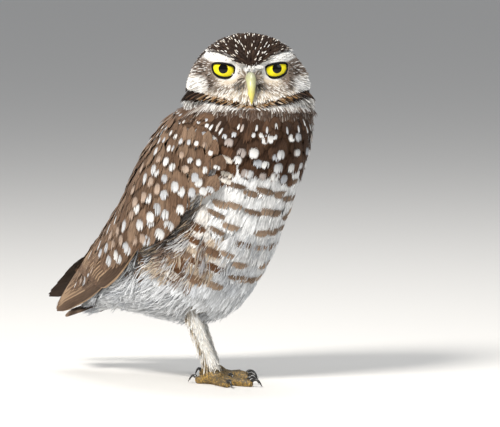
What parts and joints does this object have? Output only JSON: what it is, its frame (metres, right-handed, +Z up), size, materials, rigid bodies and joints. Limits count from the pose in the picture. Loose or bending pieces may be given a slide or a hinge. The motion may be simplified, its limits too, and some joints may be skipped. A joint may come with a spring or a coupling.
{
  "type": "burrowing owl",
  "caption": "Standing burrowing owl with spotted brown wings, barred breast and long legs, its head turned to the right; a still, life-size bird model.",
  "frame": {"origin": "centre of the bounding box in plan, at floor level under the feet", "axes": "+Z up; the body faces -Y and its left side is +X; the head is turned about 50 degrees to the bird's own right"},
  "size_m": [0.1084, 0.2112, 0.24],
  "materials": {
    "plumage_head": "matte feathers",
    "plumage_brown": "matte feathers",
    "plumage_pale": "soft feathers and down",
    "shank": "bristly pale feathers over skin",
    "toe_skin": "scaly skin, satin",
    "claw_horn": "polished dark horn",
    "bill_horn": "satin horn",
    "eye": "wet gloss"
  },
  "bodies": {
    "root": {"head": "plumage_head", "neck": "plumage_brown", "torso": "plumage_pale", "tail": "plumage_brown", "wing_right": "plumage_brown", "wing_left": "plumage_brown", "leg_right": "shank", "leg_left": "shank", "foot_right": "toe_skin", "foot_left": "toe_skin", "claw_right_inner": "claw_horn", "claw_right_middle": "claw_horn", "claw_right_outer": "claw_horn", "claw_right_hind": "claw_horn", "claw_left_inner": "claw_horn", "claw_left_middle": "claw_horn", "claw_left_outer": "claw_horn", "claw_left_hind": "claw_horn", "bill_upper": "bill_horn", "bill_lower": "bill_horn", "eye_right": "eye", "eye_left": "eye"}
  },
  "joints": []
}
